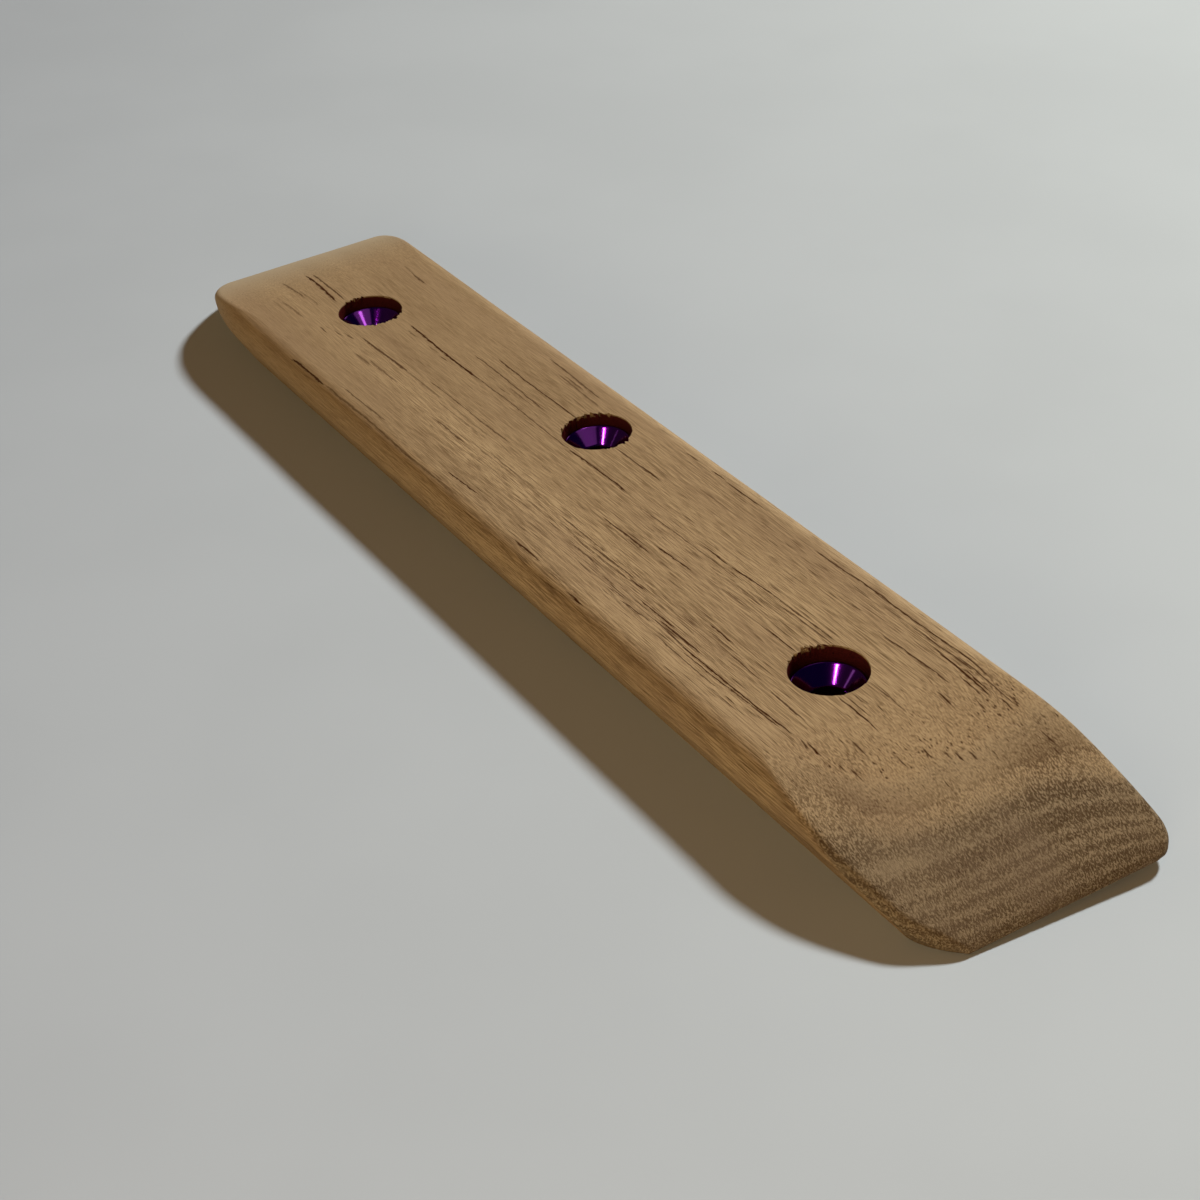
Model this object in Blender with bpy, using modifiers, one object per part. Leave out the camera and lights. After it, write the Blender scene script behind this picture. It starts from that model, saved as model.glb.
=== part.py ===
"""Wooden crimp rail for a climbing wall, with a conical washer in each of its three bolt holes.

The rail lies on its back: X runs along it, Z points out of the wall through its front face, and
-Y is the grip side, which is up in use. The origin is the centre of its back. Sizes are in metres.
"""
import math

import bmesh
import bpy
from mathutils import Vector

# Rail
LENGTH = 0.4373
WIDTH = 0.0812
THICKNESS = 0.020
INCUT_ANGLE = math.radians(30)
LIP_RADIUS = 0.007
HEEL_RADIUS = 0.008
EDGE_EASE = 0.0025

# Ends, each falling from the front face to a thin toe at the back; the left one is the flatter slope, and
# is out of square, longer on the heel side
BEVEL_LEFT_LENGTH = 0.072
BEVEL_LEFT_START_POWER = 1.33
BEVEL_LEFT_FINISH_POWER = 1.47
BEVEL_RIGHT_LENGTH = 0.066
BEVEL_RIGHT_START_POWER = 2.2
BEVEL_RIGHT_FINISH_POWER = 1.38
TOE_HEIGHT = 0.001
LEFT_END_SKEW = math.radians(1.9)

# Corners of the plan; the grip side's left one is sanded off aslant, its right one to a long sweep
GRIP_CORNER_LEFT_LENGTH = 0.0136
GRIP_CORNER_LEFT_DEPTH = 0.0084
GRIP_CORNER_LEFT_POWER = 1.8
GRIP_CORNER_RIGHT_LENGTH = 0.062
GRIP_CORNER_RIGHT_DEPTH = 0.030
HEEL_CORNER = 0.008

# Bolt holes, along the rail from its -X end and across it from the lip
FIRST_HOLE_FROM_END = 0.0839
MIDDLE_HOLE_FROM_FIRST = 0.120
LAST_HOLE_FROM_FIRST = 0.2635
END_HOLES_FROM_LIP = 0.0402
MIDDLE_HOLE_FROM_LIP = 0.0583
BOLT_DIAMETER = 0.010
COUNTERBORE_RADIUS = 0.011
MOUTH_EASE = 0.0003

# Conical washers; the left end's hole is drilled deepest
WASHER_HEIGHT = 0.006
RIGHT_END_WASHER_SETBACK = 0.0040
MIDDLE_WASHER_SETBACK = 0.0038
LEFT_END_WASHER_SETBACK = 0.0048
WASHER_LIP = 0.0005
WASHER_EDGE = 0.0003
CONE_ANGLE = math.radians(45)

# Clearances
SEAT_GAP = 0.0003
WASHER_SIDE_CLEARANCE = 0.0004
WASHER_BORE_CLEARANCE = 0.0005
RAIL_BORE_CLEARANCE = 0.001
CUTTER_OVERRUN = 0.005

# Most of a thinning end's height that its eased edge may take
EASE_SHARE = 0.5

# Fineness of the facets
END_SECTIONS = 22
LIP_SEGMENTS = 10
HEEL_SEGMENTS = 8
EASE_SEGMENTS = 4
TURNED_STEPS = 64
MERGE = 0.00001

# Sizes that follow from those above
left_shaped_length = max(BEVEL_LEFT_LENGTH, GRIP_CORNER_LEFT_LENGTH, HEEL_CORNER)
right_shaped_length = max(BEVEL_RIGHT_LENGTH, GRIP_CORNER_RIGHT_LENGTH, HEEL_CORNER)
washer_radius = COUNTERBORE_RADIUS - WASHER_SIDE_CLEARANCE
washer_bore_radius = BOLT_DIAMETER / 2 + WASHER_BORE_CLEARANCE
rail_bore_radius = BOLT_DIAMETER / 2 + RAIL_BORE_CLEARANCE

first_hole_x = FIRST_HOLE_FROM_END - LENGTH / 2
end_holes_y = END_HOLES_FROM_LIP - WIDTH / 2
middle_hole_x = first_hole_x + MIDDLE_HOLE_FROM_FIRST
middle_hole_y = MIDDLE_HOLE_FROM_LIP - WIDTH / 2
last_hole_x = first_hole_x + LAST_HOLE_FROM_FIRST

# Each hole's centre, and how far its washer lies below the front face
HOLES = {
    "right_end": (first_hole_x, end_holes_y, RIGHT_END_WASHER_SETBACK),
    "middle": (middle_hole_x, middle_hole_y, MIDDLE_WASHER_SETBACK),
    "left_end": (last_hole_x, end_holes_y, LEFT_END_WASHER_SETBACK),
}


def clear_scene():
    """Remove every object that the file holds."""
    for obj in list(bpy.data.objects):
        bpy.data.objects.remove(obj, do_unlink=True)


def make_collection(name):
    """Return a new collection linked to the scene."""
    collection = bpy.data.collections.new(name)
    bpy.context.scene.collection.children.link(collection)
    return collection


def make_material(name, colour, roughness, metallic):
    """Return a Principled BSDF material of one colour."""
    material = bpy.data.materials.new(name)
    material.use_nodes = True
    shader = material.node_tree.nodes["Principled BSDF"]
    shader.inputs["Base Color"].default_value = (*colour, 1.0)
    shader.inputs["Roughness"].default_value = roughness
    shader.inputs["Metallic"].default_value = metallic
    return material


def add_object(name, mesh, collection, parent=None, material=None, location=(0.0, 0.0, 0.0)):
    """Return a new object of a mesh, placed in a collection."""
    obj = bpy.data.objects.new(name, mesh)
    collection.objects.link(obj)
    obj.location = location
    obj.parent = parent
    if material is not None and not mesh.materials:
        mesh.materials.append(material)
    return obj


def shade_smooth(mesh, angle=math.radians(35)):
    """Shade a mesh smooth, but for edges sharper than the angle."""
    mesh.shade_smooth()
    mesh.set_sharp_from_angle(angle=angle)


def arc(start, radius, start_angle, end_angle, segments):
    """Return the (reach, height) points of an arc from a start point; angles turn outwards from upright."""
    points = []
    for i in range(segments + 1):
        angle = start_angle + (end_angle - start_angle) * i / segments
        reach = start[0] + radius * (math.sin(angle) - math.sin(start_angle))
        height = start[1] + radius * (math.cos(angle) - math.cos(start_angle))
        points.append((reach, height))
    return points


def bevel_height(from_end, length, start_power, finish_power):
    """Return the front face's height over the back at a distance from a bevelled end."""
    reach = min(max(1 - from_end / length, 0.0), 1.0)
    share = (1 - reach ** start_power) ** (1 / finish_power)
    return TOE_HEIGHT + (THICKNESS - TOE_HEIGHT) * share


def corner_inset(from_end, length, depth):
    """Return how far an elliptic plan corner lies inside the long edge at a distance from the end."""
    rest = max(1 - from_end / length, 0.0)
    return depth * (1 - math.sqrt(1 - rest ** 2))


def long_edge(height, lean, radius, segments):
    """Return a long edge as (reach, height) points, up from the back to the front face.

    The whole edge leans outwards from the back and turns over to the full thickness with its radius.
    A bevelled end cuts through it at a lower height, and that cut is eased with a smaller radius.
    Reach is measured outwards from the back's arris.
    """
    ease = min(EDGE_EASE, EASE_SHARE * height)
    whole_turn = math.pi / 2 + lean
    centre_height = THICKNESS - radius
    level = (height - ease - centre_height) / (radius - ease)
    cut_turn = math.acos(min(max(level, math.cos(whole_turn)), 1.0))

    # The straight side ends where the rounding starts, or where the eased cut does if that is lower
    side = min(centre_height + radius * math.cos(whole_turn), height - ease + ease * math.cos(whole_turn))
    rounding = arc((side * math.tan(lean), side), radius, whole_turn, cut_turn, segments)
    eased = arc(rounding[-1], ease, cut_turn, 0.0, EASE_SEGMENTS)
    return [(0.0, 0.0)] + rounding + eased[1:]


def rail_section(height, from_end, grip_inset):
    """Return one cross-section of the rail as (y, z) points, from the grip side over the front.

    The grip side is undercut from a round lip down to the back, and the heel side is upright.
    """
    sharp_overhang = (THICKNESS - LIP_RADIUS) * math.tan(INCUT_ANGLE)
    overhang = sharp_overhang - LIP_RADIUS * (1 / math.cos(INCUT_ANGLE) - 1)
    grip_back = -WIDTH / 2 + overhang + grip_inset
    heel = WIDTH / 2 - corner_inset(from_end, HEEL_CORNER, HEEL_CORNER)

    grip_edge = long_edge(height, INCUT_ANGLE, LIP_RADIUS, LIP_SEGMENTS)
    heel_edge = long_edge(height, 0.0, HEEL_RADIUS, HEEL_SEGMENTS)
    points = [(grip_back - reach, z) for reach, z in grip_edge]
    points += [(heel + reach, z) for reach, z in reversed(heel_edge)]
    return points


def section_distances(shaped_length):
    """Return distances from an end, closest together at the toe, where the corners turn fastest."""
    turns = [math.pi / 2 * i / END_SECTIONS for i in range(END_SECTIONS + 1)]
    return [shaped_length * (1 - math.cos(turn)) for turn in turns]


def right_section(distance):
    """Return the rail's cross-section at a distance from its right end."""
    height = bevel_height(distance, BEVEL_RIGHT_LENGTH, BEVEL_RIGHT_START_POWER, BEVEL_RIGHT_FINISH_POWER)
    inset = corner_inset(distance, GRIP_CORNER_RIGHT_LENGTH, GRIP_CORNER_RIGHT_DEPTH)
    return rail_section(height, distance, inset)


def left_section(distance):
    """Return the rail's cross-section at a distance from its left end."""
    height = bevel_height(distance, BEVEL_LEFT_LENGTH, BEVEL_LEFT_START_POWER, BEVEL_LEFT_FINISH_POWER)
    rest = max(1 - distance / GRIP_CORNER_LEFT_LENGTH, 0.0)
    inset = GRIP_CORNER_LEFT_DEPTH * rest ** GRIP_CORNER_LEFT_POWER
    return rail_section(height, distance, inset)


def rail_rings():
    """Return the rail's cross-sections from its -X end to its +X end, as (x, y, z) points."""
    heel_corner_y = WIDTH / 2 - HEEL_CORNER
    slant = math.tan(LEFT_END_SKEW)
    rings = []
    for distance in section_distances(right_shaped_length):
        rings.append([(distance - LENGTH / 2, y, z) for y, z in right_section(distance)])
    for distance in reversed(section_distances(left_shaped_length)):
        x = LENGTH / 2 - distance
        rings.append([(x - slant * (heel_corner_y - y), y, z) for y, z in left_section(distance)])
    return rings


def rail_mesh():
    """Return the rail's mesh, a loft through its cross-sections."""
    bm = bmesh.new()
    rings = [[bm.verts.new(point) for point in ring] for ring in rail_rings()]
    for ring, following in zip(rings, rings[1:]):
        for i in range(len(ring)):
            j = (i + 1) % len(ring)
            bm.faces.new((ring[i], following[i], following[j], ring[j]))
    bm.faces.new(rings[0])
    bm.faces.new(list(reversed(rings[-1])))

    # A rounding that the bevel has cut away, or an eased cut that hasn't begun, leaves points in one place
    bmesh.ops.remove_doubles(bm, verts=bm.verts, dist=MERGE)
    bmesh.ops.recalc_face_normals(bm, faces=bm.faces)
    mesh = bpy.data.meshes.new("rail_body")
    bm.to_mesh(mesh)
    bm.free()
    return mesh


def turned_profile(name, profile, closed):
    """Return a mesh of a turned shape's half section, (radius, height) points down its outer side."""
    bm = bmesh.new()
    verts = [bm.verts.new(Vector((radius, 0.0, height))) for radius, height in profile]
    pairs = list(zip(verts, verts[1:]))
    if closed:
        pairs.append((verts[-1], verts[0]))
    for first, second in pairs:
        bm.edges.new((first, second))
    mesh = bpy.data.meshes.new(name)
    bm.to_mesh(mesh)
    bm.free()
    return mesh


def add_screw(obj):
    """Turn an object's profile once round Z."""
    screw = obj.modifiers.new("Turn", "SCREW")
    screw.axis = "Z"
    screw.steps = TURNED_STEPS
    screw.render_steps = TURNED_STEPS
    screw.use_smooth_shade = True
    screw.use_merge_vertices = True
    screw.merge_threshold = MERGE


def washer_bottom(setback):
    """Return the height of a washer's underside over the back."""
    return THICKNESS - setback - WASHER_HEIGHT


def bolt_hole_profile(setback):
    """Return the half section of a stepped bolt hole, from above the front to below the back."""
    floor = washer_bottom(setback) - SEAT_GAP
    return [
        (0.0, THICKNESS + CUTTER_OVERRUN),
        (COUNTERBORE_RADIUS + MOUTH_EASE + CUTTER_OVERRUN, THICKNESS + CUTTER_OVERRUN),
        (COUNTERBORE_RADIUS, THICKNESS - MOUTH_EASE),
        (COUNTERBORE_RADIUS, floor),
        (rail_bore_radius, floor),
        (rail_bore_radius, -CUTTER_OVERRUN),
        (0.0, -CUTTER_OVERRUN),
    ]


def washer_profile():
    """Return the half section of a washer standing on z = 0, with a cone down to its bolt bore."""
    mouth_radius = washer_radius - WASHER_LIP
    cone_depth = (mouth_radius - washer_bore_radius) / math.tan(CONE_ANGLE)
    return [
        (washer_radius - WASHER_EDGE, WASHER_HEIGHT),
        (washer_radius, WASHER_HEIGHT - WASHER_EDGE),
        (washer_radius, WASHER_EDGE),
        (washer_radius - WASHER_EDGE, 0.0),
        (washer_bore_radius, 0.0),
        (washer_bore_radius, WASHER_HEIGHT - cone_depth),
        (mouth_radius, WASHER_HEIGHT),
    ]


def build_rail(collection, cutters, parent):
    """Build the wooden rail and cut its three stepped bolt holes."""
    wood = make_material("sanded_hardwood", (0.52, 0.36, 0.22), 0.62, 0.0)
    rail = add_object("rail_body", rail_mesh(), collection, parent, wood)
    for place, (x, y, setback) in HOLES.items():
        hole = turned_profile(f"bolt_hole_{place}", bolt_hole_profile(setback), closed=False)
        cutter = add_object(f"bolt_hole_{place}", hole, cutters, location=(x, y, 0.0))
        add_screw(cutter)
        cutter.hide_render = True
        cutter.display_type = "WIRE"
        cut = rail.modifiers.new(f"Hole {place}", "BOOLEAN")
        cut.operation = "DIFFERENCE"
        cut.solver = "EXACT"
        cut.object = cutter
    shade_smooth(rail.data)
    return rail


def build_washers(collection, parent):
    """Build the three equal conical washers, each seated on its counterbore's floor."""
    purple = make_material("purple_anodised_aluminium", (0.24, 0.03, 0.62), 0.22, 1.0)
    section = turned_profile("conical_washer", washer_profile(), closed=True)
    for place, (x, y, setback) in HOLES.items():
        seat = (x, y, washer_bottom(setback))
        washer = add_object(f"washer_{place}", section, collection, parent, purple, seat)
        add_screw(washer)


def main():
    """Build the crimp rail."""
    clear_scene()
    parts = make_collection("crimp_rail")
    cutters = make_collection("crimp_rail_cutters")
    root = add_object("crimp_rail_origin", None, parts)
    build_rail(parts, cutters, root)
    build_washers(parts, root)


main()
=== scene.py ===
"""Dresses the wooden crimp rail: sanded timber, three torn-rimmed bolt holes and purple washers.

Everything is in metres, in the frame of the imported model: X along the rail, -Y the grip side and
+Z out through the front face. Grain is placed in millimetres on the front face.
"""
from __future__ import annotations

import logging
import math
from dataclasses import dataclass
from enum import Enum
from typing import Sequence, Union

import bmesh
import bpy
import numpy as np
from mathutils import Euler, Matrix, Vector


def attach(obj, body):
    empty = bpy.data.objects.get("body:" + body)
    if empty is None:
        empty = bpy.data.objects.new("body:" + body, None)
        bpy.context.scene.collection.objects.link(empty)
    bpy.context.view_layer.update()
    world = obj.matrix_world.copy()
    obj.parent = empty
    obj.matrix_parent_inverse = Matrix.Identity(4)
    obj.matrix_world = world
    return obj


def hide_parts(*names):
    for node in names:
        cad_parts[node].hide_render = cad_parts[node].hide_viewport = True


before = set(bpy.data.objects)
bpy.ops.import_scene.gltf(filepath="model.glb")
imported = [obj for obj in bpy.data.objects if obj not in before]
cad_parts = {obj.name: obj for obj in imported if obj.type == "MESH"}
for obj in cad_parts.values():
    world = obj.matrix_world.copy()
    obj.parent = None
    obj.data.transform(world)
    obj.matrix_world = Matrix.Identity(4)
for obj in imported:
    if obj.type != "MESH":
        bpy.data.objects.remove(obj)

log = logging.getLogger("crimp_rail")

MM = 0.001
Colour = tuple[float, float, float]
Span = tuple[float, float]
Number = Union[float, "Formula"]


class Hole(Enum):
    """A bolt hole, with its centre and the height of its washer's underside in metres."""

    RIGHT_END = (-0.13475, -0.0004, 0.0100)
    MIDDLE = (-0.01475, 0.0177, 0.0102)
    LEFT_END = (0.12875, -0.0004, 0.0092)

    @property
    def x(self) -> float:
        """Return the centre's place along the rail."""
        return self.value[0]

    @property
    def y(self) -> float:
        """Return the centre's place across the rail."""
        return self.value[1]

    @property
    def washer_bottom(self) -> float:
        """Return the height of the washer's underside."""
        return self.value[2]


class Formula:
    """A number in a node tree, on which plain arithmetic adds Math nodes."""

    def __init__(self, tree: bpy.types.NodeTree, socket: bpy.types.NodeSocket) -> None:
        """Wrap one output socket of a tree."""
        self.tree = tree
        self.socket = socket

    def work(self, operation: str, *values: Number) -> "Formula":
        """Add a Math node.

        Args:
            operation: The node's operation.
            values: Its operands, in order.

        Returns:
            The node's result.
        """
        node = self.tree.nodes.new("ShaderNodeMath")
        node.operation = operation
        for entry, value in zip(node.inputs, values):
            feed(self.tree, value, entry)
        return Formula(self.tree, node.outputs[0])

    def __add__(self, other: Number) -> "Formula":
        """Return self + other."""
        return self.work("ADD", self, other)

    def __radd__(self, other: Number) -> "Formula":
        """Return other + self."""
        return self.work("ADD", other, self)

    def __sub__(self, other: Number) -> "Formula":
        """Return self - other."""
        return self.work("SUBTRACT", self, other)

    def __rsub__(self, other: Number) -> "Formula":
        """Return other - self."""
        return self.work("SUBTRACT", other, self)

    def __mul__(self, other: Number) -> "Formula":
        """Return self * other."""
        return self.work("MULTIPLY", self, other)

    def __rmul__(self, other: Number) -> "Formula":
        """Return other * self."""
        return self.work("MULTIPLY", other, self)

    def __truediv__(self, other: Number) -> "Formula":
        """Return self / other."""
        return self.work("DIVIDE", self, other)

    def __rtruediv__(self, other: Number) -> "Formula":
        """Return other / self."""
        return self.work("DIVIDE", other, self)

    def __pow__(self, other: Number) -> "Formula":
        """Return self to the power of other."""
        return self.work("POWER", self, other)

    def __neg__(self) -> "Formula":
        """Return the value with its sign turned."""
        return self.work("MULTIPLY", self, -1.0)

    def sin(self) -> "Formula":
        """Return the sine."""
        return self.work("SINE", self)

    def cos(self) -> "Formula":
        """Return the cosine."""
        return self.work("COSINE", self)

    def tan(self) -> "Formula":
        """Return the tangent."""
        return self.work("TANGENT", self)

    def arc_cosine(self) -> "Formula":
        """Return the angle whose cosine this is."""
        return self.work("ARCCOSINE", self)

    def root(self) -> "Formula":
        """Return the square root."""
        return self.work("SQRT", self)

    def size(self) -> "Formula":
        """Return the value without its sign."""
        return self.work("ABSOLUTE", self)

    def least(self, other: Number) -> "Formula":
        """Return the smaller of two values."""
        return self.work("MINIMUM", self, other)

    def most(self, other: Number) -> "Formula":
        """Return the larger of two values."""
        return self.work("MAXIMUM", self, other)

    def over(self, other: Number) -> "Formula":
        """Return 1 where the value is over the other, and 0 elsewhere."""
        return self.work("GREATER_THAN", self, other)

    def share(self, start: Number, end: Number) -> "Formula":
        """Return how far the value is from start to end, kept between 0 and 1."""
        result = (self - start) / (end - start)
        result.socket.node.use_clamp = True
        return result

    def fade(self, start: float, end: float) -> "Formula":
        """Return a smooth step from 0 at start to 1 at end."""
        node = add_node(self.tree, "ShaderNodeMapRange", {"Value": self, "From Min": start, "From Max": end},
                        interpolation_type="SMOOTHSTEP")
        return Formula(self.tree, node.outputs[0])


def feed(tree: bpy.types.NodeTree, value: object, entry: bpy.types.NodeSocket) -> None:
    """Link a formula or a socket to an input, or set the input to a plain value."""
    if isinstance(value, Formula):
        tree.links.new(value.socket, entry)
    elif isinstance(value, bpy.types.NodeSocket):
        tree.links.new(value, entry)
    else:
        entry.default_value = value


def add_node(tree: bpy.types.NodeTree, kind: str, inputs: dict | None = None,
             **settings: object) -> bpy.types.Node:
    """Add a node to a tree.

    Args:
        tree: The tree that it goes into.
        kind: The node's type name.
        inputs: What feeds its inputs, by the input's name or number.
        settings: The node's own properties.

    Returns:
        The node.
    """
    node = tree.nodes.new(kind)
    for name, value in settings.items():
        setattr(node, name, value)
    for key, value in (inputs or {}).items():
        feed(tree, value, node.inputs[key])
    return node


def parts_of(tree: bpy.types.NodeTree, vector: object) -> tuple[Formula, Formula, Formula]:
    """Return a vector's three parts."""
    node = add_node(tree, "ShaderNodeSeparateXYZ", {0: vector})
    x, y, z = (Formula(tree, socket) for socket in node.outputs)
    return x, y, z


def vector_of(tree: bpy.types.NodeTree, x: Number, y: Number, z: Number) -> bpy.types.NodeSocket:
    """Return a vector made of three numbers."""
    return add_node(tree, "ShaderNodeCombineXYZ", {0: x, 1: y, 2: z}).outputs[0]


def noise(tree: bpy.types.NodeTree, vector: object, scale: Sequence[float], detail: float = 2.0,
          roughness: float = 0.5) -> Formula:
    """Return a noise field, from 0 to 1.

    Args:
        tree: The tree that it goes into.
        vector: The place it is read at.
        scale: Blotches a unit along X, Y and Z.
        detail: Octaves of finer noise.
        roughness: Strength of the finer octaves.

    Returns:
        The noise.
    """
    stretched = add_node(tree, "ShaderNodeVectorMath", {0: vector, 1: scale}, operation="MULTIPLY")
    inputs = {"Vector": stretched.outputs[0], "Scale": 1.0, "Detail": detail, "Roughness": roughness}
    node = add_node(tree, "ShaderNodeTexNoise", inputs)
    return Formula(tree, node.outputs[0])


class GeometryTree:
    """A geometry node tree with named sizes, whose result becomes a plain mesh object."""

    def __init__(self, name: str) -> None:
        """Start an empty tree."""
        self.tree = bpy.data.node_groups.new(name, "GeometryNodeTree")
        sockets = self.tree.interface
        sockets.new_socket("Geometry", in_out="OUTPUT", socket_type="NodeSocketGeometry")
        self.entry = self.tree.nodes.new("NodeGroupInput")
        self.exit = self.tree.nodes.new("NodeGroupOutput")
        self.finish = sockets.new_socket("Finish", in_out="INPUT", socket_type="NodeSocketMaterial")

    def size(self, name: str) -> Formula:
        """Add a named input for a number and return it."""
        self.tree.interface.new_socket(name, in_out="INPUT", socket_type="NodeSocketFloat")
        return Formula(self.tree, self.entry.outputs[name])

    def node(self, kind: str, inputs: dict | None = None, **settings: object) -> bpy.types.Node:
        """Add a node to the tree and return it."""
        return add_node(self.tree, kind, inputs, **settings)

    def place(self) -> tuple[Formula, Formula, Formula]:
        """Return the parts of a point's position."""
        return parts_of(self.tree, self.node("GeometryNodeInputPosition").outputs[0])

    def grid(self, columns: int, rows: int) -> bpy.types.NodeSocket:
        """Return a flat unit grid of faces."""
        inputs = {"Size X": 1.0, "Size Y": 1.0, "Vertices X": columns + 1, "Vertices Y": rows + 1}
        return self.node("GeometryNodeMeshGrid", inputs).outputs["Mesh"]

    def moved(self, geometry: bpy.types.NodeSocket, x: Number, y: Number, z: Number) -> bpy.types.NodeSocket:
        """Return a geometry with its points put at new places."""
        place = vector_of(self.tree, x, y, z)
        return self.node("GeometryNodeSetPosition", {"Geometry": geometry, "Position": place}).outputs[0]

    def merged(self, geometry: bpy.types.NodeSocket) -> bpy.types.NodeSocket:
        """Return a geometry with the points that coincide joined."""
        inputs = {"Geometry": geometry, "Distance": 0.01 * MM}
        return self.node("GeometryNodeMergeByDistance", inputs).outputs[0]

    def end(self, geometry: bpy.types.NodeSocket) -> None:
        """Realize, finish and put out a geometry."""
        real = self.node("GeometryNodeRealizeInstances", {"Geometry": geometry})
        inputs = {"Geometry": real.outputs[0], "Material": self.entry.outputs["Finish"]}
        dressed = self.node("GeometryNodeSetMaterial", inputs)
        self.tree.links.new(dressed.outputs[0], self.exit.inputs[0])

    def make(self, name: str, finish: bpy.types.Material, sizes: dict[str, float]) -> bpy.types.Object:
        """Run the tree once.

        Args:
            name: Name of the piece.
            finish: The piece's material.
            sizes: A value for each named size.

        Returns:
            A plain mesh object with the result.
        """
        blank = bpy.data.objects.new(f"{name}_maker", bpy.data.meshes.new(f"{name}_maker"))
        bpy.context.scene.collection.objects.link(blank)
        modifier = blank.modifiers.new("Make", "NODES")
        modifier.node_group = self.tree
        for socket in self.tree.interface.items_tree:
            if socket.in_out == "INPUT" and socket.name in sizes:
                modifier[socket.identifier] = float(sizes[socket.name])
        modifier[self.finish.identifier] = finish
        mesh = bpy.data.meshes.new_from_object(blank.evaluated_get(bpy.context.evaluated_depsgraph_get()))
        bpy.data.objects.remove(blank, do_unlink=True)
        mesh.name = name
        piece = bpy.data.objects.new(name, mesh)
        bpy.context.scene.collection.objects.link(piece)
        return piece


@dataclass(frozen=True)
class Turn:
    """A point of a turned profile, and the rows of faces that lead up to it."""

    radius: Number
    height: Number
    rows: int = 1


def turned_fields(maker: GeometryTree, profile: Sequence[Turn]) -> tuple[Formula, Formula, Formula]:
    """Return the angle, radius and height of a unit grid's points, wrapped round a profile.

    Args:
        maker: The tree that holds the grid.
        profile: The profile, down its outer side.

    Returns:
        The angle in radians, the radius and the height.
    """
    across, along, _ = maker.place()
    row = (along + 0.5) * float(sum(point.rows for point in profile[1:]))
    radius = row * 0.0 + profile[0].radius
    height = row * 0.0 + profile[0].height
    start = 0
    for before, point in zip(profile, profile[1:]):
        reach = row.share(float(start), float(start + point.rows))
        radius = radius + reach * (point.radius - before.radius)
        height = height + reach * (point.height - before.height)
        start += point.rows
    return (0.5 - across) * math.tau, radius, height


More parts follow.
